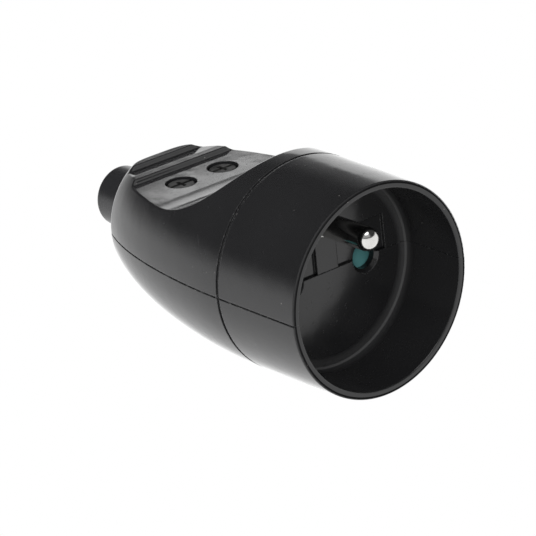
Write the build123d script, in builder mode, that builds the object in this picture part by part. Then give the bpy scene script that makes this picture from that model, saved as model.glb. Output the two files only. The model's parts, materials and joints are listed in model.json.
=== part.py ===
"""In-line power socket, rewireable, two poles and an earth pin, moulded housing in two halves.

The socket stands on the rim of its cup. Z runs along its axis from the rim (0) to the cord entry.
The earth pin, the thumb flat and the housing screws are on the -Y side. The contact holes lie on
the X axis, in the plane where the two halves of the housing meet.
All sizes are in millimetres.
"""

from build123d import *

import os
from math import cos, radians, sin, sqrt

os.makedirs("parts", exist_ok=True)

# Cup that takes the plug
recess_radius = 19.95
cup_wall = 1.55
recess_depth = 15.6
recess_corner = 2.0
floor_thickness = 2.0
rim_round = 0.35
rim_radius = recess_radius + cup_wall

# Contacts of the pin-and-earth pattern
contact_pitch = 19.0
contact_hole_radius = 2.7
contact_hole_lead = 0.7
earth_offset = 10.0
earth_pin_radius = 2.4
earth_pin_inset = 0.5

# Clearances between pieces
running_clearance = 0.05
seat_gap = 0.1
screw_clearance = 0.05

# Shutter behind the cup floor
shutter_depth = 6.0
shutter_travel = 6.4
shutter_lap = contact_hole_radius + 0.8
shutter_back = contact_hole_radius + 1.5
blade_half_width = contact_hole_radius + 1.2
ramp_land = 1.2
bridge_start = 1.0
bridge_setback = 1.0

# Carrier plate with the guides of the shutter
carrier_thickness = 2.5
guide_width = 1.5
guide_reach = shutter_back + shutter_travel + 0.6
stop_width = 2.0
stop_length = 1.6
ledge_width = 1.2
ledge_height = 2.0

# Shutter spring, a coil between two spigots
spring_wire = 0.25
spring_radius = 1.6
spring_turns = 6
spring_length = 10.2
spigot_length = 1.5
bracket_thickness = 1.6
bracket_half_width = 4.0

# Contact: split sleeve, steel clip and terminal block
sleeve_length = 11.7
sleeve_bore = 2.35
sleeve_wall = 0.75
sleeve_slit = 0.9
slit_length = 8.6
clip_wall = 0.6
clip_length = 4.0
clip_start = 2.6
clip_gap = 2.4
block_side = 6.6
block_length = 6.5
wire_bore = 1.5
wire_depth = 5.0
web_thickness = 1.6

# Small terminal screws
terminal_screw_radius = 1.25
terminal_head_radius = 2.3
terminal_head_height = 1.8
slot_width = 0.6
slot_depth = 0.8
screw_bite = 1.0
screw_tip_bevel = 0.4
head_edge_round = 0.45

# Earth pin behind the floor, and its terminal
earth_collar_step = 0.3
earth_collar_lead = 0.1
earth_flange_radius = 3.8
earth_flange_thickness = 1.4
earth_tail_radius = 1.7
earth_tail_seat = 2.8
earth_block_width = 7.0
earth_block_height = 6.2
earth_block_length = 5.6
earth_screw_setback = 4.1

# Cord grip
cord_radius = 3.3
grip_gap = 1.0
grip_width = 3.4
grip_foot = 2.4
grip_arch_radius = cord_radius + 2.2
grip_head_gap = 0.35
grip_end = 2.8
grip_screw_length = 8.0
grip_arch_foot = sqrt(grip_arch_radius**2 - grip_foot**2)
grip_screw_offset = grip_arch_foot + grip_head_gap + terminal_head_radius
grip_half_length = grip_screw_offset + grip_end

# Screws and nuts that hold the two halves together
screw_radius = 1.5
screw_offset = cord_radius + 0.5 + screw_radius
screw_head_radius = 2.85
screw_head_height = 1.6
screw_recess_radius = screw_head_radius + 0.4
screw_recess_depth = 1.9
screw_lead = 4.4
screw_slot_width = 0.8
screw_slot_depth = 0.9
boss_wall = 0.9
nut_flats = 5.5
nut_thickness = 2.4
nut_seat = 14.6
screw_tip = 0.5

# Cord boot and its seat in the end wall
boot_radius = 6.35
boot_reach = 15.0
boot_round = 0.8
boot_flange_radius = 8.0
boot_flange_thickness = 3.0
flange_web_thickness = 1.4
flange_web_lead = 7.2
flange_web_bore = 5.2
end_wall = 2.85

# Outside of the housing: radii at stations along the axis, each stepped from the one before
housing_wall = 2.2
shoulder_flare = 0.35
belly_drop = 0.7
flank_drop = 2.05
tail_drop = 3.9
end_drop = 1.3
shoulder_radius = rim_radius + shoulder_flare
belly_radius = shoulder_radius - belly_drop
flank_radius = belly_radius - flank_drop
tail_radius = flank_radius - tail_drop
end_radius = tail_radius - end_drop
end_slope = 0.42
flank_lead = 1.4
tail_step = 3.0
tail_round = 2.6
shoulder_setback = 6.9
ring_groove_width = 0.8
ring_groove_depth = 0.45
parting_groove_width = 0.36
parting_groove_depth = 0.25

# Thumb flat and its two grip ribs
flat_height = 11.3
flat_bend_radius = 25.5
flat_bend_lead = 5.9
flat_bend_angle = 62.0
flat_edge_round = 0.5
first_rib_lead = 6.2
rib_height = 1.0
rib_top = 1.9
rib_face_lean = 0.3
valley_depth = 0.4
second_rib_lead = 12.0
second_rib_height = 1.4

# Shallow recesses of the cup floor beside the central rib
rib_half_width = 2.6
floor_recess_depth = 0.7
floor_recess_reach = 14.6
floor_recess_height = 7.4

# Places along the axis, each from the piece in front of it
pole = contact_pitch / 2
earth_collar_radius = earth_pin_radius + earth_collar_step
floor_back = recess_depth + floor_thickness
shutter_front = floor_back + seat_gap
shutter_rear = shutter_front + shutter_depth
carrier_front = shutter_rear + seat_gap
carrier_rear = carrier_front + carrier_thickness
stack_front = carrier_rear + seat_gap
block_front = stack_front + sleeve_length
block_rear = block_front + block_length
web_rear = block_front - seat_gap
grip_front = block_rear + grip_gap
grip_rear = grip_front + grip_width
screw_z = grip_rear + screw_lead
flange_web_front = screw_z + flange_web_lead
flange_front = flange_web_front + flange_web_thickness + seat_gap
flange_rear = flange_front + boot_flange_thickness
end_wall_front = flange_rear + running_clearance
body_length = end_wall_front + end_wall
shoulder_z = recess_depth + shoulder_setback
belly_z = block_front
flank_z = screw_z - flank_lead
tail_z = body_length - tail_step
bend_z = screw_z - flat_bend_lead
bracket_front = shutter_back + spring_length
flat_span = 2 * (shoulder_radius + cup_wall)


def half_section(inset):
    """Half of the housing's section, its side moved inwards by inset, as local x and height."""
    with BuildSketch(Plane.XZ) as section:
        with BuildLine():
            rim = Line((0, 0), (rim_radius - inset, 0))
            cup = Line(rim @ 1, (shoulder_radius - inset, shoulder_z))
            flank = Spline(
                cup @ 1,
                (belly_radius - inset, belly_z),
                (flank_radius - inset, flank_z),
                (tail_radius - inset, tail_z),
                (end_radius - inset, body_length),
                tangents=[cup % 1, (-end_slope, 1)],
                tangent_scalars=[1, 1],
            )
            Line(flank @ 1, (0, body_length))
            Line((0, body_length), (0, 0))
        make_face()
    return section.sketch


def flat_outline(depth, ribbed):
    """Region above the thumb flat in side view, depth further in, with or without its ribs."""
    surface = flat_height - depth
    bend_radius = flat_bend_radius + depth
    turn = radians(flat_bend_angle)
    centre = -surface - bend_radius
    front = (centre + bend_radius * cos(turn), bend_z - bend_radius * sin(turn))
    middle = (centre + bend_radius * cos(turn / 2), bend_z - bend_radius * sin(turn / 2))
    outside = -shoulder_radius - flat_bend_radius
    rear = body_length + boot_reach
    with BuildSketch(Plane.YZ.offset(-flat_span / 2)) as outline:
        with BuildLine():
            ThreePointArc(front, middle, (-surface, bend_z))
            if ribbed:
                foot = screw_z + first_rib_lead
                second = screw_z + second_rib_lead
                Polyline(
                    (-surface, bend_z),
                    (-surface, foot),
                    (-surface - rib_height, foot + rib_face_lean),
                    (-surface - rib_height, foot + rib_face_lean + rib_top),
                    (-surface - valley_depth, second),
                    (-surface - second_rib_height, second + rib_face_lean),
                    (-surface - second_rib_height, rear),
                )
                Line((-surface - second_rib_height, rear), (outside, rear))
            else:
                Line((-surface, bend_z), (-surface, rear))
                Line((-surface, rear), (outside, rear))
            Line((outside, rear), (outside, front[1]))
            Line((outside, front[1]), front)
        make_face()
    return outline.sketch


def cheese_head_screw(plane, radius, tip, seat, head, slot, crossed=False):
    """Screw along the plane's normal, from tip to seat, with a slot and at choice a cross."""
    head_radius, head_height = head
    width, depth = slot
    with BuildPart() as screw:
        with BuildSketch(plane.offset(tip)):
            Circle(radius)
        extrude(amount=seat - tip)
        tip_edge = screw.edges().filter_by(GeomType.CIRCLE).sort_by(Axis(plane.origin, plane.z_dir))[0]
        chamfer(tip_edge, screw_tip_bevel)
        with BuildSketch(plane.offset(seat)):
            Circle(head_radius)
        extrude(amount=head_height)
        rounds = screw.edges().filter_by(GeomType.CIRCLE)
        fillet(rounds.sort_by(Axis(plane.origin, plane.z_dir))[-1], head_edge_round)
        with BuildSketch(plane.offset(seat + head_height)):
            Rectangle(3 * head_radius, width)
            if crossed:
                Rectangle(width, head_radius)
        extrude(amount=-depth, mode=Mode.SUBTRACT)
    return screw.part


def facing(x, y, height, direction):
    """Plane through a point, its normal along +Y or -Y."""
    return Plane(origin=(x, y, height), x_dir=(1, 0, 0), z_dir=(0, direction, 0))


def on_the_outside(edge):
    """Whether an edge runs along the outer face of the thumb flat, its bend or its ribs."""
    box = edge.bounding_box()
    return box.max.Y < running_clearance - flat_height and box.max.Z < body_length + running_clearance


# Solid housing with its cup, floor holes and outer grooves, before it is parted
with BuildPart() as housing:
    add(half_section(0))
    revolve(axis=Axis.Z)
    fillet(housing.edges().filter_by(GeomType.CIRCLE).sort_by(Axis.Z)[-1], tail_round)
    with BuildSketch(Plane.XY):
        Circle(recess_radius)
    extrude(amount=recess_depth, mode=Mode.SUBTRACT)
    floor_edges = housing.edges().filter_by(GeomType.CIRCLE)
    fillet(floor_edges.filter_by_position(Axis.Z, recess_depth, recess_depth), recess_corner)
    rim_edges = housing.edges().filter_by(GeomType.CIRCLE)
    fillet(rim_edges.filter_by_position(Axis.Z, 0, 0), rim_round)
    with BuildSketch(Plane.XZ) as ring_section:
        with Locations((shoulder_radius, shoulder_z)):
            Rectangle(2 * ring_groove_depth, ring_groove_width)
    revolve(axis=Axis.Z, mode=Mode.SUBTRACT)

# Hollow behind the floor: the outside moved in by the wall, kept clear of the thumb flat
with BuildPart() as hollow:
    add(half_section(housing_wall))
    revolve(axis=Axis.Z)
    with BuildSketch(Plane.XY.offset(floor_back)):
        Circle(2 * rim_radius)
    extrude(amount=end_wall_front - floor_back, mode=Mode.INTERSECT)
    above_flat = flat_outline(housing_wall, ribbed=False)
    extrude(above_flat, amount=flat_span, dir=(1, 0, 0), mode=Mode.SUBTRACT)
cavity = hollow.part

# Webs and ledge that cross the hollow and hold the inner pieces
with BuildPart() as partitions:
    with BuildSketch(Plane.XY.offset(stack_front)):
        Circle(rim_radius)
        Circle(recess_radius - housing_wall - ledge_height, mode=Mode.SUBTRACT)
    extrude(amount=ledge_width)
    with BuildSketch(Plane.XY.offset(web_rear - web_thickness)):
        Circle(rim_radius)
        with Locations((-pole, 0), (pole, 0)):
            Circle(sleeve_bore + sleeve_wall + running_clearance, mode=Mode.SUBTRACT)
        with Locations((0, -earth_offset)):
            Circle(earth_flange_radius, mode=Mode.SUBTRACT)
    extrude(amount=web_thickness)
    with BuildSketch(Plane.XY.offset(flange_web_front)):
        Circle(rim_radius)
        Circle(flange_web_bore, mode=Mode.SUBTRACT)
    extrude(amount=flange_web_thickness)
    add(cavity, mode=Mode.INTERSECT)

# Housing with its inside, still whole
with BuildPart() as whole:
    add(housing.part)
    add(cavity, mode=Mode.SUBTRACT)
    add(partitions.part)
    with BuildSketch(Plane.XY.offset(recess_depth)):
        with Locations((-pole, 0), (pole, 0)):
            Circle(contact_hole_radius)
    extrude(amount=floor_thickness, mode=Mode.SUBTRACT)
    mouths = whole.edges().filter_by(GeomType.CIRCLE)
    mouths = mouths.filter_by_position(Axis.Z, recess_depth, recess_depth)
    chamfer(
        mouths.filter_by(lambda e: abs(e.radius - contact_hole_radius) < running_clearance),
        contact_hole_lead,
    )
    with BuildSketch(Plane.XY.offset(end_wall_front)):
        Circle(boot_radius + running_clearance)
    extrude(amount=end_wall, mode=Mode.SUBTRACT)
    with BuildSketch(Plane.XZ) as parting_line:
        add(half_section(0))
        add(half_section(parting_groove_depth), mode=Mode.SUBTRACT)
        mirror(about=Plane.YZ)
    extrude(amount=parting_groove_width / 2, both=True, mode=Mode.SUBTRACT)

# Bosses of one half, before the hollow of the other half cuts them
screw_places = [(-screw_offset, screw_z), (screw_offset, screw_z)]
grip_screw_z = grip_front + grip_width / 2
grip_screw_places = [(-grip_screw_offset, grip_screw_z), (grip_screw_offset, grip_screw_z)]
bore_radius = screw_radius + screw_clearance

with BuildPart() as upper_bosses:
    with BuildSketch(Plane.XZ):
        with Locations(*screw_places):
            Circle(screw_recess_radius + boss_wall)
    extrude(amount=rim_radius)
    add(cavity, mode=Mode.INTERSECT)

with BuildPart() as lower_bosses:
    with BuildSketch(Plane.XZ):
        with Locations(*screw_places):
            Circle(nut_flats / sqrt(3) + boss_wall)
    extrude(amount=-rim_radius)
    with BuildSketch(Plane.XY.offset(grip_front)):
        with Locations((0, rim_radius / 2)):
            Rectangle(2 * rim_radius, rim_radius)
    extrude(amount=grip_width)
    add(cavity, mode=Mode.INTERSECT)

# Upper half, with the earth pin's hole, the thumb flat and the recesses of the screws
with BuildPart() as upper_shell:
    add(whole.part)
    split(bisect_by=Plane.XZ, keep=Keep.TOP)
    add(upper_bosses.part)
    with BuildSketch(Plane.XY.offset(grip_front)):
        Circle(cord_radius)
    extrude(amount=flange_web_front - grip_front, mode=Mode.SUBTRACT)
    with BuildSketch(Plane.XY.offset(recess_depth)):
        with Locations((0, -earth_offset)):
            Circle(earth_collar_radius + running_clearance)
    extrude(amount=floor_thickness, mode=Mode.SUBTRACT)
    recess_width = floor_recess_reach - rib_half_width
    with BuildSketch(Plane.XY.offset(recess_depth)):
        for side in (-1, 1):
            with Locations((side * (rib_half_width + recess_width / 2), -floor_recess_height / 2)):
                Rectangle(recess_width, floor_recess_height)
    extrude(amount=floor_recess_depth, mode=Mode.SUBTRACT)
    extrude(flat_outline(0, ribbed=True), amount=flat_span, dir=(1, 0, 0), mode=Mode.SUBTRACT)
    flat_edges = upper_shell.edges(Select.LAST).filter_by(on_the_outside)
    fillet(flat_edges, flat_edge_round)
    with BuildSketch(Plane.XZ.offset(flat_height)):
        with Locations(*screw_places):
            Circle(screw_recess_radius)
    extrude(amount=-screw_recess_depth, mode=Mode.SUBTRACT)
    with BuildSketch(Plane.XZ):
        with Locations(*screw_places):
            Circle(bore_radius)
    extrude(amount=flat_height, mode=Mode.SUBTRACT)
upper_shell.part.label = "upper_shell"
export_step(upper_shell.part, "parts/upper_shell.step")

# Lower half, with the saddle of the cord grip and the pockets of the nuts
with BuildPart() as lower_shell:
    add(whole.part)
    split(bisect_by=Plane.XZ, keep=Keep.BOTTOM)
    add(lower_bosses.part)
    with BuildSketch(Plane.XY.offset(grip_front)):
        Circle(cord_radius)
    extrude(amount=flange_web_front - grip_front, mode=Mode.SUBTRACT)
    with BuildSketch(Plane.XZ):
        with Locations(*screw_places):
            Circle(bore_radius)
    extrude(amount=-nut_seat, mode=Mode.SUBTRACT)
    with BuildSketch(Plane.XZ.offset(-nut_seat)):
        with Locations(*screw_places):
            RegularPolygon(nut_flats / 2 + screw_clearance, 6, major_radius=False)
    extrude(amount=-rim_radius, mode=Mode.SUBTRACT)
    with BuildSketch(Plane.XZ):
        with Locations(*grip_screw_places):
            Circle(terminal_screw_radius + screw_clearance)
    extrude(amount=-grip_screw_length, mode=Mode.SUBTRACT)
lower_shell.part.label = "lower_shell"
export_step(lower_shell.part, "parts/lower_shell.step")

# Housing screws with a cross slot, and their nuts
for side, x in (("left", -screw_offset), ("right", screw_offset)):
    housing_screw = cheese_head_screw(
        facing(x, 0, screw_z, -1),
        screw_radius,
        -nut_seat - nut_thickness - screw_tip,
        flat_height - screw_recess_depth,
        (screw_head_radius, screw_head_height),
        (screw_slot_width, screw_slot_depth),
        crossed=True,
    )
    housing_screw.label = f"{side}_housing_screw"
    export_step(housing_screw, f"parts/{side}_housing_screw.step")

    with BuildPart() as housing_nut:
        with BuildSketch(Plane.XZ.offset(-nut_seat)):
            with Locations((x, screw_z)):
                RegularPolygon(nut_flats / 2, 6, major_radius=False)
                Circle(bore_radius, mode=Mode.SUBTRACT)
        extrude(amount=-nut_thickness)
    housing_nut.part.label = f"{side}_housing_nut"
    export_step(housing_nut.part, f"parts/{side}_housing_nut.step")

# Cord boot, a rubber bush whose flange is trapped between the end wall and a web
boot_length = body_length + boot_reach - flange_front
with BuildPart() as cord_boot:
    with BuildSketch(Plane.XY.offset(flange_front)):
        Circle(boot_flange_radius)
    extrude(amount=boot_flange_thickness)
    with BuildSketch(Plane.XY.offset(flange_front)):
        Circle(boot_radius)
    extrude(amount=boot_length)
    fillet(cord_boot.edges().sort_by(Axis.Z)[-1], boot_round)
    with BuildSketch(Plane.XY.offset(flange_front)):
        Circle(cord_radius)
    extrude(amount=boot_length, mode=Mode.SUBTRACT)
cord_boot.part.label = "cord_boot"
export_step(cord_boot.part, "parts/cord_boot.step")

# Earth pin: domed tip, shaft, collar in the floor, flange behind it, tail in its terminal
earth_tail_end = stack_front + earth_tail_seat
tip_centre = earth_pin_inset + earth_pin_radius
with BuildPart() as earth_pin:
    with BuildSketch(facing(0, -earth_offset, 0, -1)):
        with BuildLine():
            CenterArc((0, tip_centre), earth_pin_radius, 270, 90)
            Polyline(
                (earth_pin_radius, tip_centre),
                (earth_pin_radius, recess_depth - earth_collar_lead),
                (earth_collar_radius, recess_depth - earth_collar_lead),
                (earth_collar_radius, floor_back),
                (earth_flange_radius, floor_back),
                (earth_flange_radius, floor_back + earth_flange_thickness),
                (earth_tail_radius, floor_back + earth_flange_thickness),
                (earth_tail_radius, earth_tail_end),
                (0, earth_tail_end),
                (0, earth_pin_inset),
            )
        make_face()
    revolve(axis=Axis((0, -earth_offset, 0), (0, 0, 1)))
earth_pin.part.label = "earth_pin"
export_step(earth_pin.part, "parts/earth_pin.step")

# Earth terminal: a brass block on the tail of the pin, its screw facing the parting plane
earth_top = earth_block_height / 2
earth_screw_z = stack_front + earth_screw_setback
with BuildPart() as earth_terminal:
    with BuildSketch(Plane.XY.offset(stack_front)):
        with Locations((0, -earth_offset)):
            Rectangle(earth_block_width, earth_block_height)
            Circle(earth_tail_radius + running_clearance, mode=Mode.SUBTRACT)
    extrude(amount=earth_block_length)
    with BuildSketch(facing(0, -earth_offset, earth_screw_z, 1)):
        Circle(terminal_screw_radius + screw_clearance)
    extrude(amount=earth_top, mode=Mode.SUBTRACT)
earth_terminal.part.label = "earth_terminal"
export_step(earth_terminal.part, "parts/earth_terminal.step")

earth_terminal_screw = cheese_head_screw(
    facing(0, -earth_offset, earth_screw_z, 1),
    terminal_screw_radius,
    screw_bite,
    earth_top,
    (terminal_head_radius, terminal_head_height),
    (slot_width, slot_depth),
)
earth_terminal_screw.label = "earth_terminal_screw"
export_step(earth_terminal_screw, "parts/earth_terminal_screw.step")

# Contacts: a slit sleeve with its steel clip, and a terminal block with its screw
sleeve_radius = sleeve_bore + sleeve_wall
for side, x in (("left", -pole), ("right", pole)):
    with BuildPart() as contact:
        with BuildSketch(Plane.XY.offset(stack_front)):
            with Locations((x, 0)):
                Circle(sleeve_radius)
                Circle(sleeve_bore, mode=Mode.SUBTRACT)
        extrude(amount=sleeve_length)
        with BuildSketch(Plane.XY.offset(stack_front)):
            with Locations((x, 0)):
                Rectangle(sleeve_slit, 3 * sleeve_radius)
        extrude(amount=slit_length, mode=Mode.SUBTRACT)
        with BuildSketch(Plane.XY.offset(block_front)):
            with Locations((x, 0)):
                Rectangle(block_side, block_side)
        extrude(amount=block_length)
        with BuildSketch(Plane.XY.offset(block_rear)):
            with Locations((x, 0)):
                Circle(wire_bore)
        extrude(amount=-wire_depth, mode=Mode.SUBTRACT)
        with BuildSketch(facing(x, 0, block_front + block_length / 2, -1)):
            Circle(terminal_screw_radius + screw_clearance)
        extrude(amount=block_side / 2, mode=Mode.SUBTRACT)
    contact.part.label = f"{side}_contact"
    export_step(contact.part, f"parts/{side}_contact.step")

    with BuildPart() as clip:
        with BuildSketch(Plane.XY.offset(stack_front + clip_start)):
            with Locations((x, 0)):
                Circle(sleeve_radius + running_clearance + clip_wall)
                Circle(sleeve_radius + running_clearance, mode=Mode.SUBTRACT)
            with Locations((x, sleeve_radius)):
                Rectangle(clip_gap, sleeve_radius, mode=Mode.SUBTRACT)
        extrude(amount=clip_length)
    clip.part.label = f"{side}_contact_clip"
    export_step(clip.part, f"parts/{side}_contact_clip.step")

    terminal_screw = cheese_head_screw(
        facing(x, 0, block_front + block_length / 2, -1),
        terminal_screw_radius,
        screw_bite,
        block_side / 2,
        (terminal_head_radius, terminal_head_height),
        (slot_width, slot_depth),
    )
    terminal_screw.label = f"{side}_terminal_screw"
    export_step(terminal_screw, f"parts/{side}_terminal_screw.step")

# Cord grip: a saddle bar over the cord, screwed down onto the lower half
with BuildPart() as cord_grip:
    with BuildSketch(Plane.XY.offset(grip_front)):
        Circle(grip_arch_radius)
        with Locations((0, -grip_foot / 2)):
            Rectangle(2 * grip_half_length, grip_foot)
        with Locations((0, grip_half_length)):
            Rectangle(2 * grip_half_length, 2 * grip_half_length, mode=Mode.SUBTRACT)
        Circle(cord_radius, mode=Mode.SUBTRACT)
    extrude(amount=grip_width)
    with BuildSketch(Plane.XZ):
        with Locations(*grip_screw_places):
            Circle(terminal_screw_radius + screw_clearance)
    extrude(amount=grip_foot, mode=Mode.SUBTRACT)
cord_grip.part.label = "cord_grip"
export_step(cord_grip.part, "parts/cord_grip.step")

for side, x in (("left", -grip_screw_offset), ("right", grip_screw_offset)):
    grip_screw = cheese_head_screw(
        facing(x, 0, grip_screw_z, -1),
        terminal_screw_radius,
        grip_foot - grip_screw_length,
        grip_foot,
        (terminal_head_radius, terminal_head_height),
        (slot_width, slot_depth),
    )
    grip_screw.label = f"{side}_grip_screw"
    export_step(grip_screw, f"parts/{side}_grip_screw.step")

# Shutter: two ramped blades over the contact holes, joined by a bridge with a spring spigot
spring_z = (shutter_front + bridge_setback + shutter_rear) / 2
spigot_radius = spring_radius - 2 * spring_wire
with BuildPart() as shutter:
    with BuildSketch(Plane.YZ.offset(pole - blade_half_width)):
        with BuildLine():
            Polyline(
                (-shutter_lap, shutter_rear - ramp_land),
                (-shutter_lap, shutter_rear),
                (shutter_back, shutter_rear),
                (shutter_back, shutter_front),
                (contact_hole_radius, shutter_front),
                (-shutter_lap, shutter_rear - ramp_land),
            )
        make_face()
    extrude(amount=2 * blade_half_width)
    mirror(about=Plane.YZ)
    with BuildSketch(Plane.XY.offset(shutter_front + bridge_setback)):
        with Locations((0, (bridge_start + shutter_back) / 2)):
            Rectangle(2 * (pole - blade_half_width), shutter_back - bridge_start)
    extrude(amount=shutter_depth - bridge_setback)
    with BuildSketch(facing(0, shutter_back, spring_z, 1)):
        Circle(spigot_radius)
    extrude(amount=spigot_length)
shutter.part.label = "shutter"
export_step(shutter.part, "parts/shutter.step")

# Carrier: plate behind the shutter with its guides, end stops and the spring's bracket
carrier_radius = rim_radius - housing_wall
guide_inside = pole + blade_half_width + seat_gap
guide_front = floor_back + running_clearance
stop_face = -shutter_lap - running_clearance
with BuildPart() as contact_carrier:
    with BuildSketch(Plane.XY.offset(carrier_front)):
        Circle(carrier_radius)
        with Locations((-pole, 0), (pole, 0)):
            Circle(contact_hole_radius, mode=Mode.SUBTRACT)
        with Locations((0, -earth_offset)):
            Circle(earth_tail_radius + running_clearance, mode=Mode.SUBTRACT)
    extrude(amount=carrier_thickness)
    with BuildSketch(Plane.XY.offset(guide_front)):
        guide_length = guide_reach - stop_face + stop_length
        for side in (-1, 1):
            with Locations((side * (guide_inside + guide_width / 2), guide_reach - guide_length / 2)):
                Rectangle(guide_width, guide_length)
    extrude(amount=carrier_front - guide_front)
    with BuildSketch(Plane.XY.offset(shutter_rear - ramp_land)):
        for side in (-1, 1):
            with Locations((side * (guide_inside - stop_width / 2), stop_face - stop_length / 2)):
                Rectangle(stop_width, stop_length)
    extrude(amount=ramp_land + seat_gap)
    with BuildSketch(Plane.XY.offset(guide_front)):
        with Locations((0, bracket_front + bracket_thickness / 2)):
            Rectangle(2 * bracket_half_width, bracket_thickness)
    extrude(amount=carrier_front - guide_front)
    with BuildSketch(facing(0, bracket_front, spring_z, -1)):
        Circle(spigot_radius)
    extrude(amount=spigot_length)
    with BuildSketch(Plane.XY.offset(guide_front)):
        Circle(carrier_radius)
    extrude(amount=carrier_rear - guide_front, mode=Mode.INTERSECT)
    above_flat = flat_outline(housing_wall + seat_gap, ribbed=False)
    extrude(above_flat, amount=flat_span, dir=(1, 0, 0), mode=Mode.SUBTRACT)
contact_carrier.part.label = "contact_carrier"
export_step(contact_carrier.part, "parts/contact_carrier.step")

# Spring that closes the shutter, a helix of round wire between the two spigots
coil_height = spring_length - 2 * spring_wire - seat_gap
with BuildPart() as coil_spring:
    with BuildLine() as coil:
        Helix(coil_height / spring_turns, coil_height, spring_radius)
    with BuildSketch(coil.line ^ 0):
        Circle(spring_wire)
    sweep()
spring_place = facing(0, shutter_back + spring_wire + seat_gap / 2, spring_z, 1)
with BuildPart() as shutter_spring:
    with Locations(spring_place.location):
        add(coil_spring.part)
shutter_spring.part.label = "shutter_spring"
export_step(shutter_spring.part, "parts/shutter_spring.step")
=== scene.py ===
# %% [markdown]
# An in-line power socket in glossy black plastic, dressed for its picture.
# The pieces come from the CAD frame with their real sizes and places, so this lesson is about
# what makes them look real: the camera, the light that a glossy surface mirrors, and materials
# made of nodes. We load the frame first.

# %% Load the frame
import json
import math

import bmesh
import bpy
from mathutils import Matrix, Vector


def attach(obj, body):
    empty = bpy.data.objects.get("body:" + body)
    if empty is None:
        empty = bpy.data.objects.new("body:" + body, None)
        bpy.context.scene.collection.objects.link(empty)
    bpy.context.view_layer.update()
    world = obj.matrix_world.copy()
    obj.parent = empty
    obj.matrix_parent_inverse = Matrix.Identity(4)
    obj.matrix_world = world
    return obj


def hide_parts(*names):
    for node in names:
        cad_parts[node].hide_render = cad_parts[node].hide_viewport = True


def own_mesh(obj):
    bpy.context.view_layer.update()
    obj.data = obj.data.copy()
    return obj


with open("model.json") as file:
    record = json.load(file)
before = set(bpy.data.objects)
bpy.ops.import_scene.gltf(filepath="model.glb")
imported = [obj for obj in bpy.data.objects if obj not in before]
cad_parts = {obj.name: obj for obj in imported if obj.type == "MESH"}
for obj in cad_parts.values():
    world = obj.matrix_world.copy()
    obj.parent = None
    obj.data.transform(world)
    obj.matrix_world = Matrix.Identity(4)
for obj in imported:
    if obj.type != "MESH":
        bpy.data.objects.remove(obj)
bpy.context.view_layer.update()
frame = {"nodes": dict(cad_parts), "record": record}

nodes = frame["nodes"]
scene = bpy.context.scene
MM = 0.001
print("pieces from the frame:", len(nodes))

# %% [markdown]
# The socket stands on the rim of its cup, and the photograph looks into that cup: there the
# socket lies on its side. So our camera stands below the floor and looks up, along the same
# line. A camera is placed by three directions, right, up and backwards, as the columns of its
# matrix. A long lens keeps the perspective as flat as the photograph's.

# %% Camera
PHOTO_SIDE = 536
FOCAL_PIXELS = 3200
SENSOR = 36.0
PRINCIPAL_POINT = (-3.5, 1.1)
CAMERA_PLACE = Vector((-351.0, -235.1, -434.3)) * MM
CAMERA_RIGHT = Vector((0.77244, 0.09942, -0.62726))
CAMERA_FORWARD = Vector((0.55368, 0.37839, 0.7418))


def camera_matrix(place, right, forward):
    """World matrix of a camera from its place and two directions."""
    forward = forward.normalized()
    right = (right - forward * right.dot(forward)).normalized()
    up = right.cross(forward)
    turn = Matrix((right, up, -forward)).transposed()
    return Matrix.Translation(place) @ turn.to_4x4()


lens = bpy.data.cameras.new("photo_camera")
lens.sensor_width = SENSOR
lens.lens = FOCAL_PIXELS / PHOTO_SIDE * SENSOR
lens.shift_x = -PRINCIPAL_POINT[0] / PHOTO_SIDE
lens.shift_y = PRINCIPAL_POINT[1] / PHOTO_SIDE
lens.clip_start = 0.01
camera = bpy.data.objects.new("photo_camera", lens)
scene.collection.objects.link(camera)
camera.matrix_world = camera_matrix(CAMERA_PLACE, CAMERA_RIGHT, CAMERA_FORWARD)
scene.camera = camera
scene.view_settings.view_transform = "Standard"
print("lens of", round(lens.lens, 1), "mm")

# %% [markdown]
# Shader nodes are wired by hand in code, so a few helpers keep that short. The first adds a
# node, sets it up and fills its sockets, by name or by number. The others are small sums and a
# soft step, which every mask below is made of.

# %% Helpers for nodes
def add_node(tree, kind, settings=None, **sockets):
    """New node with its settings and socket values. A value may be another node's output."""
    node = tree.nodes.new(kind)
    for name, value in (settings or {}).items():
        setattr(node, name, value)
    for name, value in sockets.items():
        index = int(name[1:]) if name[0] == "i" and name[1:].isdigit() else None
        socket = node.inputs[index if index is not None else name.replace("_", " ")]
        if isinstance(value, bpy.types.NodeSocket):
            tree.links.new(value, socket)
        else:
            socket.default_value = value
    return node


def math_node(tree, operation, first, second=0.0, clamp=False):
    """Output of one sum, product or other operation of two values."""
    settings = {"operation": operation, "use_clamp": clamp}
    return add_node(tree, "ShaderNodeMath", settings, i0=first, i1=second).outputs[0]


def soft_step(tree, value, low, high):
    """0 below low, 1 above high and a smooth ramp between."""
    settings = {"interpolation_type": "SMOOTHSTEP"}
    node = add_node(tree, "ShaderNodeMapRange", settings, Value=value, From_Min=low, From_Max=high)
    return node.outputs["Result"]


print("node helpers are ready")

# %% [markdown]
# An effect that several materials share is a node group with named inputs and outputs. It is
# built once, and each material places it with its own values. A group's sockets are made with
# interface.new_socket. The last helper starts a material with its Principled shader.

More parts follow.
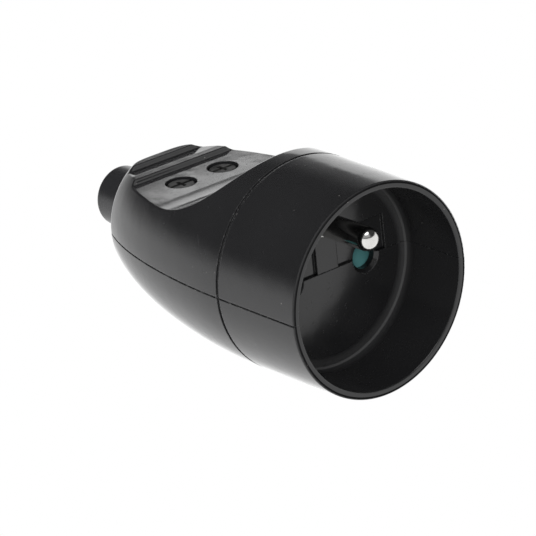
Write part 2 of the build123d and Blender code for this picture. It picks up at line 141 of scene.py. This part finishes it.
# %% Helpers for groups and materials
def new_group(name, inputs, outputs):
    """Empty shader group with float inputs {name: value} and outputs {name: type}."""
    group = bpy.data.node_groups.new(name, "ShaderNodeTree")
    for label, value in inputs.items():
        socket = group.interface.new_socket(label, in_out="INPUT", socket_type="NodeSocketFloat")
        socket.default_value = value
    for label, kind in outputs.items():
        group.interface.new_socket(label, in_out="OUTPUT", socket_type="NodeSocket" + kind)
    start = group.nodes.new("NodeGroupInput")
    end = group.nodes.new("NodeGroupOutput")
    return group, start.outputs, end.inputs


def use_group(tree, group, **values):
    """Place a group in a material with its own values and return its outputs."""
    node = tree.nodes.new("ShaderNodeGroup")
    node.node_tree = group
    for name, value in values.items():
        node.inputs[name.replace("_", " ")].default_value = value
    return node.outputs


def new_material(name):
    """Material with a node tree, its Principled shader and nothing else set."""
    material = bpy.data.materials.new(name)
    material.use_nodes = True
    tree = material.node_tree
    return material, tree, tree.nodes["Principled BSDF"]


print("group helpers are ready")

# %% [markdown]
# A black glossy thing has hardly any colour of its own: we see what it mirrors. In the
# photograph that is a white table and backdrop, with a dark room above them, and the edge
# between the two is the soft line along the housing. A world shader can hold that room. First
# we read the direction of a ray, and how far it goes up, back, right and left in the picture.

# %% World: directions
REAR_EDGE = (-0.1, 0.1)
RIGHT_EDGE = (0.1, 0.5)
LEFT_EDGE = (0.2, -0.1)

world = bpy.data.worlds.new("studio")
world.use_nodes = True
scene.world = world
sky = world.node_tree
sky.nodes.clear()
direction = add_node(sky, "ShaderNodeTexCoord").outputs["Generated"]
way = add_node(sky, "ShaderNodeSeparateXYZ", Vector=direction).outputs
up = math_node(sky, "MULTIPLY", way["Y"], -1.0)
rear = soft_step(sky, way["Z"], *REAR_EDGE)
right = soft_step(sky, way["X"], *RIGHT_EDGE)
left = soft_step(sky, way["X"], *LEFT_EDGE)
print("world directions are ready")

# %% [markdown]
# Now the room itself, as plain brightness: a white table below, a backdrop behind it, grey
# walls, and one lamp high up that draws the small bright spots on round edges. Each pair of
# numbers says at what height one brightness goes over into the next. The table's pair lies far
# apart, because in the photograph the light fades slowly round the housing.

# %% World: the room that glossy surfaces mirror
TABLE_WHITE = 1.1
BACKDROP_WHITE = 1.3
WALL_GREY = 0.3
ROOM_DARK = 0.045
FRONT_WALL = 0.45
TABLE_EDGE = (-0.15, 0.22)
BACKDROP_EDGE = (0.23, 0.3)
WALL_EDGE = (0.3, 0.62)
FRONT_EDGE = (0.31, 0.36)
FRONT_WALL_EDGE = (0.36, 0.55)
LAMP_WAY = (-0.19, -0.95, -0.25)
LAMP_EDGE = (0.93, 0.97)
LAMP_GLOW = 2.5


def blend(first, second, share):
    """Value that goes from first to second with share, each a number or a node's output."""
    node = add_node(sky, "ShaderNodeMix", {"data_type": "FLOAT"}, i0=share, i2=first, i3=second)
    return node.outputs[0]


table = blend(TABLE_WHITE, ROOM_DARK, soft_step(sky, up, *TABLE_EDGE))
wall = blend(WALL_GREY, ROOM_DARK, soft_step(sky, up, *WALL_EDGE))
backdrop = blend(BACKDROP_WHITE, wall, soft_step(sky, up, *BACKDROP_EDGE))
behind = blend(table, backdrop, right)
front_share = math_node(sky, "MULTIPLY", left, soft_step(sky, up, *FRONT_WALL_EDGE))
camera_side = blend(ROOM_DARK, FRONT_WALL, front_share)
front = blend(TABLE_WHITE, camera_side, soft_step(sky, up, *FRONT_EDGE))
room_light = blend(front, behind, rear)
near_lamp = add_node(
    sky, "ShaderNodeVectorMath", {"operation": "DOT_PRODUCT"}, i0=direction, i1=LAMP_WAY
)
lamp_spot = soft_step(sky, near_lamp.outputs["Value"], *LAMP_EDGE)
glow = math_node(sky, "MULTIPLY", lamp_spot, LAMP_GLOW)
mirrored = math_node(sky, "ADD", room_light, glow)
print("room made of", len(sky.nodes), "nodes")

# %% [markdown]
# Which ray gets what: the camera sees plain white behind the object, mirror rays see the room,
# and all other rays get an even light at a plain level, so the colours render about as written.

# %% World: what each kind of ray sees
WHITE = (1.0, 1.0, 1.0, 1.0)
EVEN_LIGHT = 0.75

ray = add_node(sky, "ShaderNodeLightPath").outputs
mirror_ray = math_node(sky, "MAXIMUM", ray["Is Glossy Ray"], ray["Is Transmission Ray"])
even = add_node(sky, "ShaderNodeBackground", Color=WHITE, Strength=EVEN_LIGHT).outputs[0]
room = add_node(sky, "ShaderNodeBackground", Color=WHITE, Strength=mirrored).outputs[0]
plain = add_node(sky, "ShaderNodeBackground", Color=WHITE, Strength=1.0).outputs[0]
lit = add_node(sky, "ShaderNodeMixShader", i0=mirror_ray, i1=even, i2=room).outputs[0]
seen = add_node(sky, "ShaderNodeMixShader", i0=ray["Is Camera Ray"], i1=lit, i2=plain).outputs[0]
add_node(sky, "ShaderNodeOutputWorld", Surface=seen)
print("world made of", len(sky.nodes), "nodes")

# %% [markdown]
# The floor is a pale disc. A ring instead of a full disc leaves the cup's mouth open, so that
# the inside of the cup mirrors the room and not the floor. We write its points and faces down
# ourselves: two circles of points, and a face between each two neighbours.

# %% Floor: a ring
FLOOR_RADIUS = 3.0
FLOOR_HOLE = 20.9 * MM
FLOOR_DROP = 0.02 * MM
FLOOR_SIDES = 128


def ring_mesh(name, inner, outer, height, sides):
    """Flat ring, its faces upwards."""
    made = bpy.data.meshes.new(name)
    ring = []
    for radius in (inner, outer):
        for step in range(sides):
            turn = 2 * math.pi * step / sides
            ring.append((radius * math.cos(turn), radius * math.sin(turn), height))
    faces = []
    for step in range(sides):
        after = (step + 1) % sides
        faces.append((step, sides + step, sides + after, after))
    made.from_pydata(ring, [], faces)
    return made


floor_ring = ring_mesh("floor", FLOOR_HOLE, FLOOR_RADIUS, -FLOOR_DROP, FLOOR_SIDES)
floor = bpy.data.objects.new("floor", floor_ring)
scene.collection.objects.link(floor)
print("floor of", FLOOR_RADIUS, "m with a hole of", round(2 * FLOOR_HOLE / MM, 1), "mm")

# %% [markdown]
# The photograph's camera looks through the floor from below. So the paper is clear when seen
# from behind, by the Backfacing output, and it lets light through to the cup. From above it is
# plain pale paper that keeps the socket's shadow.

# %% Floor: its paper
FLOOR_COLOUR = (0.82, 0.82, 0.82, 1.0)
PAPER_ROUGHNESS = 0.7

floor_paper, tree, shader = new_material("floor_paper")
shader.inputs["Base Color"].default_value = FLOOR_COLOUR
shader.inputs["Roughness"].default_value = PAPER_ROUGHNESS
path = add_node(tree, "ShaderNodeLightPath").outputs
from_below = add_node(tree, "ShaderNodeNewGeometry").outputs["Backfacing"]
clear = math_node(tree, "MAXIMUM", from_below, path["Is Shadow Ray"])
gap = add_node(tree, "ShaderNodeBsdfTransparent").outputs[0]
through = add_node(tree, "ShaderNodeMixShader", i0=clear, i1=shader.outputs[0], i2=gap).outputs[0]
tree.links.new(through, tree.nodes["Material Output"].inputs["Surface"])
floor.data.materials.append(floor_paper)
print("paper made of", len(tree.nodes), "nodes")

# %% [markdown]
# Area lights add what the even world can't: a key light that reaches into the cup and onto the
# screws, and an overhead light that draws the shadow on the floor. They are large and soft.
# The camera doesn't see them, and no glossy surface mirrors them: the room does that.

# %% Lights
MIDDLE = Vector((0, 0, 40)) * MM
KEY_WATTS = 4.0
OVERHEAD_WATTS = 9.0
SIDE_WATTS = 4.0


def area_light(name, place, size, watts, aim=MIDDLE, mirrored=False):
    """Soft light of a width and a height, aimed at a point of the object."""
    data = bpy.data.lights.new(name, "AREA")
    data.shape = "RECTANGLE"
    data.size = size[0]
    data.size_y = size[1]
    data.energy = watts
    lamp = bpy.data.objects.new(name, data)
    scene.collection.objects.link(lamp)
    lamp.location = place
    lamp.rotation_mode = "QUATERNION"
    lamp.rotation_quaternion = (aim - Vector(place)).to_track_quat("-Z", "Y")
    lamp.visible_camera = False
    lamp.visible_glossy = mirrored


area_light("key_light", (-0.42, -0.45, -0.45), (0.35, 0.35), KEY_WATTS)
area_light("overhead_light", (-0.3, 0.35, 1.1), (0.9, 0.9), OVERHEAD_WATTS)
area_light("side_light", (-0.9, -0.5, 0.5), (0.6, 0.6), SIDE_WATTS)

# %% [markdown]
# Product photographers put a small white card where a flat face can mirror it. The thumb flat
# of this socket has such a pale glow, from the shoulder to the grip ribs. To find the card's
# place we mirror the camera in the flat: a line from there through the middle of the glow goes
# on to the card. The card lies parallel to the flat, so its picture in the flat is straight. A
# second, longer card just behind it makes the ends of the glow soft.

# %% Cards for the thumb flat
FLAT_LEVEL = -11.3 * MM
GLOW_MIDDLE = Vector((0, -11.3, 47.5)) * MM
CARD_WAY = 0.3157
GLOW_WIDTH = 30 * MM
GLOW_LENGTHS = (18 * MM, 24 * MM)
CARD_STEP = Vector((0, -1, 0)) * MM
CARD_BRIGHTNESS = 0.95

mirrored_camera = CAMERA_PLACE.copy()
mirrored_camera.y = 2 * FLAT_LEVEL - CAMERA_PLACE.y
card_place = GLOW_MIDDLE + (GLOW_MIDDLE - mirrored_camera) * CARD_WAY
below_card = Vector((card_place.x, FLAT_LEVEL, card_place.z))
for length in GLOW_LENGTHS:
    card_size = (GLOW_WIDTH * (1 + CARD_WAY), length * (1 + CARD_WAY))
    card_watts = CARD_BRIGHTNESS * math.pi * card_size[0] * card_size[1]
    name = "flat_card_" + str(round(length / MM))
    area_light(name, card_place, card_size, card_watts, aim=below_card, mirrored=True)
    card_place = card_place + CARD_STEP
    print(name, "with", round(card_watts, 4), "W")

# %% [markdown]
# Moulded skin is the faint waviness of a plastic surface that was pressed against polished
# steel. It bends mirrored lines a little, which is how the eye tells plastic from glass. Two
# noises make it: a slow wave and a fine grain. A third one varies the roughness in patches.

# %% Group: moulded skin
PATCH_SCALE = 90.0
PATCH_EDGE = (0.35, 0.7)

skin, skin_in, skin_out = new_group(
    "moulded_skin",
    {"Wave Scale": 260.0, "Wave Height": 0.1, "Grain Scale": 5000.0, "Grain Height": 0.05,
     "Roughness Low": 0.08, "Roughness High": 0.14},
    {"Roughness": "Float", "Height": "Float"},
)
place = add_node(skin, "ShaderNodeTexCoord").outputs["Object"]
wave = add_node(skin, "ShaderNodeTexNoise", Vector=place, Scale=skin_in["Wave Scale"], Detail=1.0)
grain = add_node(skin, "ShaderNodeTexNoise", Vector=place, Scale=skin_in["Grain Scale"], Detail=2.0)
wave_up = math_node(skin, "MULTIPLY", wave.outputs["Fac"], skin_in["Wave Height"])
grain_up = math_node(skin, "MULTIPLY", grain.outputs["Fac"], skin_in["Grain Height"])
skin.links.new(math_node(skin, "ADD", wave_up, grain_up), skin_out["Height"])
patch = add_node(skin, "ShaderNodeTexNoise", Vector=place, Scale=PATCH_SCALE, Detail=4.0)
blotch = soft_step(skin, patch.outputs["Fac"], *PATCH_EDGE)
rough = add_node(
    skin, "ShaderNodeMapRange", Value=blotch,
    To_Min=skin_in["Roughness Low"], To_Max=skin_in["Roughness High"],
)
skin.links.new(rough.outputs["Result"], skin_out["Roughness"])
print(skin.name, "has", len(skin.nodes), "nodes")

# %% [markdown]
# Fine scratches come from handling. A noise that is squeezed in two directions gives long thin
# streaks, and a soft step keeps only its highest crests. Three such layers, each turned another
# way, cross each other as real scratches do.

# %% Group: fine scratches
LAYER_ANGLES = (0.4, 1.5, 2.6)
TURN_SHARES = (1.0, 0.7, 1.3)
CREST_EDGE = (0.7, 0.78)

scratches, scratch_in, scratch_out = new_group(
    "fine_scratches", {"Scale": 120.0, "Stretch": 14.0, "Amount": 0.5}, {"Mask": "Float"}
)
place = add_node(scratches, "ShaderNodeTexCoord").outputs["Object"]
stretch = scratch_in["Stretch"]
squeeze = add_node(scratches, "ShaderNodeCombineXYZ", X=1.0, Y=stretch, Z=stretch).outputs[0]
total = None
for angle in LAYER_ANGLES:
    turned = add_node(scratches, "ShaderNodeMapping", Vector=place)
    turned.inputs["Rotation"].default_value = [angle * share for share in TURN_SHARES]
    thin = add_node(
        scratches, "ShaderNodeVectorMath", {"operation": "MULTIPLY"},
        i0=turned.outputs["Vector"], i1=squeeze,
    )
    streak = add_node(scratches, "ShaderNodeTexNoise", Vector=thin.outputs["Vector"], Detail=1.0)
    scratches.links.new(scratch_in["Scale"], streak.inputs["Scale"])
    line = soft_step(scratches, streak.outputs["Fac"], *CREST_EDGE)
    total = line if total is None else math_node(scratches, "MAXIMUM", total, line)
mask = math_node(scratches, "MULTIPLY", total, scratch_in["Amount"], clamp=True)
scratches.links.new(mask, scratch_out["Mask"])
print(scratches.name, "has", len(scratches.nodes), "nodes")

# %% [markdown]
# The housing was moulded in two halves that meet in a plane. Where they meet, the real one has
# a fine ragged line, also inside the cup and over its floor. The distance to that plane is the
# size of the object's Y coordinate. A noise pushes it in and out, so the line isn't ruled.

# %% Group: parting seam
SEAM_WIDTH = 0.16 * MM
SEAM_RAGGED = 0.3 * MM
NIBBLE_SCALE = 1500.0

seam, seam_in, seam_out = new_group(
    "parting_seam", {"Width": SEAM_WIDTH, "Ragged": SEAM_RAGGED}, {"Depth": "Float"}
)
place = add_node(seam, "ShaderNodeTexCoord").outputs["Object"]
across = add_node(seam, "ShaderNodeSeparateXYZ", Vector=place).outputs["Y"]
nibble = add_node(seam, "ShaderNodeTexNoise", Vector=place, Scale=NIBBLE_SCALE, Detail=3.0)
centred = math_node(seam, "SUBTRACT", nibble.outputs["Fac"], 0.5)
push = math_node(seam, "MULTIPLY", centred, seam_in["Ragged"])
away = math_node(seam, "ADD", math_node(seam, "ABSOLUTE", across), push)
flat_again = soft_step(seam, away, 0.0, seam_in["Width"])
seam.links.new(math_node(seam, "SUBTRACT", 1.0, flat_again), seam_out["Depth"])
print(seam.name, "has", len(seam.nodes), "nodes")

# %% [markdown]
# Sharp plastic edges get nicked and worn pale. The Bevel node gives the normal that a small
# rounding would have, and where that differs from the real normal there is an edge. A noise
# breaks the line up, so that only some spots are worn.

# %% Group: edge wear
WEAR_REACH = 0.3 * MM
WEAR_EDGE = (0.01, 0.12)
NICK_EDGE = (0.5, 0.64)

wear, wear_in, wear_out = new_group(
    "edge_wear", {"Reach": WEAR_REACH, "Scale": 1100.0, "Amount": 0.5}, {"Mask": "Float"}
)
place = add_node(wear, "ShaderNodeTexCoord").outputs["Object"]
rounded = add_node(wear, "ShaderNodeBevel", {"samples": 4}, Radius=wear_in["Reach"])
true_normal = add_node(wear, "ShaderNodeNewGeometry").outputs["Normal"]
same = add_node(
    wear, "ShaderNodeVectorMath", {"operation": "DOT_PRODUCT"},
    i0=rounded.outputs["Normal"], i1=true_normal,
)
differs = math_node(wear, "SUBTRACT", 1.0, same.outputs["Value"])
edge_line = soft_step(wear, differs, *WEAR_EDGE)
nick = add_node(wear, "ShaderNodeTexNoise", Vector=place, Scale=wear_in["Scale"], Detail=4.0)
spots = soft_step(wear, nick.outputs["Fac"], *NICK_EDGE)
worn = math_node(wear, "MULTIPLY", edge_line, spots)
wear.links.new(math_node(wear, "MULTIPLY", worn, wear_in["Amount"], clamp=True), wear_out["Mask"])
print(wear.name, "has", len(wear.nodes), "nodes")

# %% [markdown]
# A few specks of dust lie on every black object in a photograph. Voronoi cells have one point
# each, and its distance makes a round speck. The cell's random colour picks the few cells that
# keep theirs.

# %% Group: dust specks
CORE_SHARE = 0.5

dust, dust_in, dust_out = new_group(
    "dust_specks", {"Scale": 520.0, "Size": 0.07, "Share": 0.88, "Amount": 0.6}, {"Mask": "Float"}
)
place = add_node(dust, "ShaderNodeTexCoord").outputs["Object"]
cells = add_node(dust, "ShaderNodeTexVoronoi", Vector=place, Scale=dust_in["Scale"])
core = math_node(dust, "MULTIPLY", dust_in["Size"], CORE_SHARE)
outside = soft_step(dust, cells.outputs["Distance"], core, dust_in["Size"])
speck = math_node(dust, "SUBTRACT", 1.0, outside)
chance = add_node(dust, "ShaderNodeSeparateXYZ", Vector=cells.outputs["Color"]).outputs["X"]
kept = math_node(dust, "GREATER_THAN", chance, dust_in["Share"])
few = math_node(dust, "MULTIPLY", speck, kept)
dust.links.new(math_node(dust, "MULTIPLY", few, dust_in["Amount"], clamp=True), dust_out["Mask"])
print(dust.name, "has", len(dust.nodes), "nodes")

# %% [markdown]
# Inside the cup the real plastic is duller than outside: that side of the mould is hard to
# polish, and plugs rub it. We find the inside by its distance from the axis and by its height,
# with the cup's own radius and depth. The round corner between wall and floor is the dullest,
# and a fine crease runs along it, dented in and with a thin painted highlight: both follow from
# the distance to the line where wall and floor would meet.

# %% Group: inside of the cup
CUP_RADIUS = 20.15 * MM
CUP_DEPTH = 16.0 * MM
CUP_SOFT = 0.3 * MM
WALL_RADIUS = 19.95 * MM
FLOOR_LEVEL = 15.6 * MM
CORNER_EDGE = (1.6 * MM, 2.6 * MM)
CREASE_EDGE = (0.86 * MM, 0.92 * MM)

cup, cup_in, cup_out = new_group(
    "cup_inside", {"Radius": CUP_RADIUS, "Depth": CUP_DEPTH, "Soft": CUP_SOFT},
    {"Mask": "Float", "Corner": "Float", "Crease": "Float"},
)
place = add_node(cup, "ShaderNodeTexCoord").outputs["Object"]
flattened = add_node(cup, "ShaderNodeVectorMath", {"operation": "MULTIPLY"}, i0=place, i1=(1, 1, 0))
from_axis = add_node(cup, "ShaderNodeVectorMath", {"operation": "LENGTH"}, i0=flattened.outputs[0])
radius = from_axis.outputs["Value"]
height = add_node(cup, "ShaderNodeSeparateXYZ", Vector=place).outputs["Z"]
radius_end = math_node(cup, "ADD", cup_in["Radius"], cup_in["Soft"])
depth_end = math_node(cup, "ADD", cup_in["Depth"], cup_in["Soft"])
beyond = soft_step(cup, radius, cup_in["Radius"], radius_end)
above = soft_step(cup, height, cup_in["Depth"], depth_end)
inside = math_node(cup, "SUBTRACT", 1.0, math_node(cup, "MAXIMUM", beyond, above))
cup.links.new(inside, cup_out["Mask"])
in_from_wall = math_node(cup, "SUBTRACT", radius, WALL_RADIUS)
down_from_floor = math_node(cup, "SUBTRACT", height, FLOOR_LEVEL)
to_corner = add_node(cup, "ShaderNodeCombineXYZ", X=in_from_wall, Y=down_from_floor).outputs[0]
corner_way = add_node(cup, "ShaderNodeVectorMath", {"operation": "LENGTH"}, i0=to_corner)
far = soft_step(cup, corner_way.outputs["Value"], *CORNER_EDGE)
corner = math_node(cup, "MULTIPLY", inside, math_node(cup, "SUBTRACT", 1.0, far))
cup.links.new(corner, cup_out["Corner"])
off_line = soft_step(cup, corner_way.outputs["Value"], *CREASE_EDGE)
crease = math_node(cup, "MULTIPLY", inside, math_node(cup, "SUBTRACT", 1.0, off_line))
cup.links.new(crease, cup_out["Crease"])
print(cup.name, "has", len(cup.nodes), "nodes")

# %% [markdown]
# Every finish ends the same way. A Bevel node rounds the sharp CAD edges as a real small radius
# would, so they catch a thin line of light, and a Bump node adds the height of the skin.

# %% Surface recipe
BUMP_DISTANCE = 0.2 * MM


def finish_surface(tree, shader, edge, height, strength):
    """Round the edges by a Bevel node and add a height with a Bump node."""
    rounded = add_node(tree, "ShaderNodeBevel", {"samples": 4}, Radius=edge)
    bump = add_node(
        tree, "ShaderNodeBump", Strength=strength, Distance=BUMP_DISTANCE,
        Height=height, Normal=rounded.outputs["Normal"],
    )
    tree.links.new(bump.outputs["Normal"], shader.inputs["Normal"])


def mix_colours(tree, share, first, second):
    """Colour between two colours, each four numbers or a node's output."""
    mix = add_node(tree, "ShaderNodeMix", {"data_type": "RGBA"}, i0=share, i6=first, i7=second)
    return mix.outputs[2]


print("surface recipe is ready")

# %% [markdown]
# Plastic: a dark or tinted body under a smooth, slightly wavy skin. The colour wanders a little
# with a noise, then takes the pale colour of the wear, of a painted highlight along the cup's
# crease, and of the dust. Scratches, wear and the inside of the cup add to the roughness, and the
# seam and the cup's crease lower the height.

# %% Plastic recipe
DUST_COLOUR = (0.22, 0.21, 0.2, 1.0)
PLASTIC_IOR = 1.5
CORNER_ROUGH = 0.4
SCRATCH_ROUGH = 0.3
WEAR_ROUGH = 0.3
CREASE_HIGHLIGHT = 0.5
TONE_SCALE = 60.0
PALER = (1.25, 0.001)
PALE_WEAR_AND_HIGHLIGHT = (1.4, 0.06)
PLASTIC_BUMP = 0.25


def lighter(colour, factor, lift):
    """Colour with each of its three numbers multiplied and raised, as four numbers."""
    return (*(min(1.0, part * factor + lift) for part in colour), 1.0)


def plastic(name, colour, low, high, wave, edge, grain=0.06, scratch=0.3, worn=0.5, dusty=0.6,
            specular=0.5, seam_depth=0.0, cup_rough=0.0):
    """Moulded plastic with its skin, scratches, wear, dust and seam; in the cup, a painted highlight
    along the crease.
    """
    material, tree, shader = new_material(name)
    shader.inputs["IOR"].default_value = PLASTIC_IOR
    shader.inputs["Specular IOR Level"].default_value = specular
    surface = use_group(
        tree, skin, Wave_Height=wave, Grain_Height=grain, Roughness_Low=low, Roughness_High=high
    )
    marks = use_group(tree, scratches, Amount=scratch)["Mask"]
    wear_and_crease_highlight = use_group(tree, wear, Amount=worn)["Mask"]
    specks = use_group(tree, dust, Amount=dusty)["Mask"]
    height = surface["Height"]
    scratched = math_node(tree, "MULTIPLY", marks, SCRATCH_ROUGH)
    nicked = math_node(tree, "MULTIPLY", wear_and_crease_highlight, WEAR_ROUGH)
    roughness = math_node(tree, "ADD", surface["Roughness"], math_node(tree, "ADD", scratched, nicked))
    if cup_rough:
        inner = use_group(tree, cup)
        duller = math_node(tree, "MULTIPLY", inner["Mask"], cup_rough)
        dullest = math_node(tree, "MULTIPLY", inner["Corner"], CORNER_ROUGH)
        roughness = math_node(tree, "ADD", roughness, math_node(tree, "ADD", duller, dullest))
        height = math_node(tree, "SUBTRACT", height, inner["Crease"])
        # Painted highlight: a pale line along the cup's crease, mixed into the pale wear colour.
        crease_highlight = math_node(tree, "MULTIPLY", inner["Crease"], CREASE_HIGHLIGHT)
        wear_and_crease_highlight = math_node(tree, "MAXIMUM", wear_and_crease_highlight, crease_highlight)
    if seam_depth:
        groove = math_node(tree, "MULTIPLY", use_group(tree, seam)["Depth"], seam_depth)
        height = math_node(tree, "SUBTRACT", height, groove)
    tree.links.new(roughness, shader.inputs["Roughness"])
    place = add_node(tree, "ShaderNodeTexCoord").outputs["Object"]
    noise = add_node(tree, "ShaderNodeTexNoise", Vector=place, Scale=TONE_SCALE, Detail=3.0)
    body = mix_colours(tree, noise.outputs["Fac"], (*colour, 1.0), lighter(colour, *PALER))
    body = mix_colours(tree, wear_and_crease_highlight, body, lighter(colour, *PALE_WEAR_AND_HIGHLIGHT))
    body = mix_colours(tree, specks, body, DUST_COLOUR)
    tree.links.new(body, shader.inputs["Base Color"])
    finish_surface(tree, shader, edge, height, PLASTIC_BUMP)
    return material


print("plastic recipe is ready")

# %% [markdown]
# Metal: the colour is in the mirror itself, so Metallic is 1, or a little less for a blackened
# screw that has lost its shine. Blotches of two tones and finer scratches keep it from looking
# like a plain sheet.

# %% Metal recipe
METAL_SCRATCH_SCALE = 300.0
METAL_TONE_SCALE = 420.0
METAL_TONE_EDGE = (0.35, 0.65)
METAL_BUMP = 0.3
GRAIN_SHARE = 0.6


def metal(name, colour, low, high, wave, edge, scratch=0.4, metallic=1.0, contrast=0.82):
    """Bare, plated or blackened metal with blotches of two tones and handling scratches."""
    material, tree, shader = new_material(name)
    shader.inputs["Metallic"].default_value = metallic
    surface = use_group(
        tree, skin, Wave_Height=wave, Grain_Height=wave * GRAIN_SHARE,
        Roughness_Low=low, Roughness_High=high,
    )
    marks = use_group(tree, scratches, Amount=scratch, Scale=METAL_SCRATCH_SCALE)["Mask"]
    rougher = math_node(tree, "MULTIPLY", marks, SCRATCH_ROUGH)
    tree.links.new(math_node(tree, "ADD", surface["Roughness"], rougher), shader.inputs["Roughness"])
    place = add_node(tree, "ShaderNodeTexCoord").outputs["Object"]
    noise = add_node(tree, "ShaderNodeTexNoise", Vector=place, Scale=METAL_TONE_SCALE, Detail=4.0)
    tone = soft_step(tree, noise.outputs["Fac"], *METAL_TONE_EDGE)
    darker = (*(part * contrast for part in colour), 1.0)
    body = mix_colours(tree, tone, darker, (*colour, 1.0))
    tree.links.new(body, shader.inputs["Base Color"])
    finish_surface(tree, shader, edge, surface["Height"], METAL_BUMP)
    return material


print("metal recipe is ready")

# %% [markdown]
# The housing is a hard thermoset, pressed glossy and almost black. The boot is soft and a
# little duller. The shutter is a tinted nylon, and the carrier behind the cup a plain grey.

# %% Materials: plastics and rubber
EDGE = 0.12 * MM
HOUSING_EDGE = 0.24 * MM

housing_black = plastic(
    "housing_black", colour=(0.0085, 0.0085, 0.009), low=0.07, high=0.16, wave=0.6,
    edge=HOUSING_EDGE, grain=0.05, scratch=0.45, worn=0.85, dusty=0.7,
    seam_depth=1.0, cup_rough=0.11,
)
boot_black = plastic(
    "boot_black", colour=(0.011, 0.011, 0.012), low=0.22, high=0.3, wave=0.2,
    edge=EDGE, specular=0.45,
)
shutter_teal = plastic(
    "shutter_teal", colour=(0.085, 0.245, 0.25), low=0.3, high=0.4, wave=0.15,
    edge=EDGE, dusty=0.2,
)
carrier_grey = plastic(
    "carrier_grey", colour=(0.03, 0.03, 0.032), low=0.3, high=0.4, wave=0.15, edge=EDGE
)
print("plastics:", housing_black.name, boot_black.name, shutter_teal.name, carrier_grey.name)

# %% [markdown]
# The earth pin is nickel plated and bright. The housing's screws are blackened and worn, the
# terminal screws are zinc plated, the contacts are brass and the spring is drawn steel wire.

# %% Materials: metals
nickel = metal(
    "nickel", colour=(0.72, 0.71, 0.69), low=0.10, high=0.2, wave=0.1, edge=EDGE
)
black_steel = metal(
    "black_steel", colour=(0.055, 0.054, 0.053), low=0.38, high=0.6, wave=0.5,
    edge=EDGE, scratch=0.6, metallic=0.6, contrast=0.35,
)
zinc = metal("zinc", colour=(0.58, 0.60, 0.62), low=0.28, high=0.4, wave=0.15, edge=EDGE)
brass = metal("brass", colour=(0.72, 0.52, 0.22), low=0.22, high=0.35, wave=0.12, edge=EDGE)
wire_steel = metal(
    "wire_steel", colour=(0.5, 0.5, 0.52), low=0.2, high=0.3, wave=0.08, edge=0.0
)
print("metals:", nickel.name, black_steel.name, zinc.name, brass.name, wire_steel.name)

# %% [markdown]
# The record names a finish for each piece of the frame, so one small table of names is enough
# to dress them all. A piece keeps its mesh and place, only its material changes.

# %% Dress the pieces of the frame
FINISHES = {
    "housing_black": housing_black,
    "boot_black": boot_black,
    "shutter_teal": shutter_teal,
    "carrier_grey": carrier_grey,
    "plated_steel": nickel,
    "screw_steel": black_steel,
    "zinc_steel": zinc,
    "contact_brass": brass,
    "spring_steel": wire_steel,
}

for row in frame["record"]["subparts"]:
    piece = nodes[row["node"]]
    piece.data.materials.clear()
    piece.data.materials.append(FINISHES[row["material_slot"]])

# %% [markdown]
# Behind the cup a small coil spring pushes the shutter shut. A rigid piece can't shorten, so
# this one is wound again as a mesh of our own: a line of points runs round the spring's axis,
# and a small ring of points around each of them makes the wire. Its end turns lie close, as on
# a real spring, and the turns between are open. A curve with a round bevel would do as well,
# but a mesh can be flattened when the shutter moves.

# %% Shutter spring: the line of its wire
SPRING_START = 4.25 * MM
SPRING_END = 14.35 * MM
SPRING_HEIGHT = 21.2 * MM
WIRE_RADIUS = 0.25 * MM
COIL_RADIUS = 1.6 * MM
OPEN_TURNS = 6
STEPS_PER_TURN = 28


def spring_line():
    """Points of the wire's middle, with one closed turn at each end."""
    first = SPRING_START + WIRE_RADIUS
    last = SPRING_END - WIRE_RADIUS
    closed = 2 * WIRE_RADIUS
    steps = (OPEN_TURNS + 2) * STEPS_PER_TURN
    line = []
    for step in range(steps + 1):
        turns = step / STEPS_PER_TURN
        open_part = min(max((turns - 1) / OPEN_TURNS, 0.0), 1.0)
        end_part = min(turns, 1.0) + max(turns - 1 - OPEN_TURNS, 0.0)
        along = first + closed * end_part + (last - first - 2 * closed) * open_part
        angle = 2 * math.pi * turns
        x = COIL_RADIUS * math.cos(angle)
        z = SPRING_HEIGHT + COIL_RADIUS * math.sin(angle)
        line.append(Vector((x, along, z)))
    return line


wire_line = spring_line()
print("spring line of", len(wire_line), "points")

# %% [markdown]
# Around each point we lay a ring of ten points, square to the wire's direction. One side of the
# ring points away from the spring's axis, so the rings never twist against each other. Faces
# join ring to ring, and one flat face closes each end of the wire.

# %% Shutter spring: its wire
WIRE_SIDES = 10


def wire_mesh(name, line, radius, sides):
    """Closed tube along a line of points that winds round the Y axis."""
    made = bmesh.new()
    rings = []
    for index, point in enumerate(line):
        before = line[max(index - 1, 0)]
        after = line[min(index + 1, len(line) - 1)]
        ahead = (after - before).normalized()
        outwards = Vector((point.x, 0, point.z - SPRING_HEIGHT)).normalized()
        sideways = ahead.cross(outwards).normalized()
        outwards = sideways.cross(ahead)
        ring = []
        for side in range(sides):
            turn = 2 * math.pi * side / sides
            spoke = outwards * math.cos(turn) + sideways * math.sin(turn)
            ring.append(made.verts.new(point + spoke * radius))
        rings.append(ring)
    for ring, following in zip(rings, rings[1:]):
        for side in range(sides):
            after = (side + 1) % sides
            made.faces.new((ring[side], ring[after], following[after], following[side]))
    made.faces.new(rings[0])
    made.faces.new(rings[-1])
    bmesh.ops.recalc_face_normals(made, faces=made.faces)
    mesh = bpy.data.meshes.new(name)
    made.to_mesh(mesh)
    made.free()
    mesh.shade_smooth()
    return mesh


wound = wire_mesh("wound_spring", wire_line, WIRE_RADIUS, WIRE_SIDES)
print("spring of", len(wound.polygons), "faces")

# %% [markdown]
# The spring rides on the housing, stands for the frame's rigid spring, and takes its finish.
# Its far end rests on the housing and its near end on the shutter.

spring = bpy.data.objects.new("wound_spring", wound)
scene.collection.objects.link(spring)
spring.data.materials.append(wire_steel)
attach(spring, "housing")
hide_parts("shutter_spring")
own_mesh(spring)
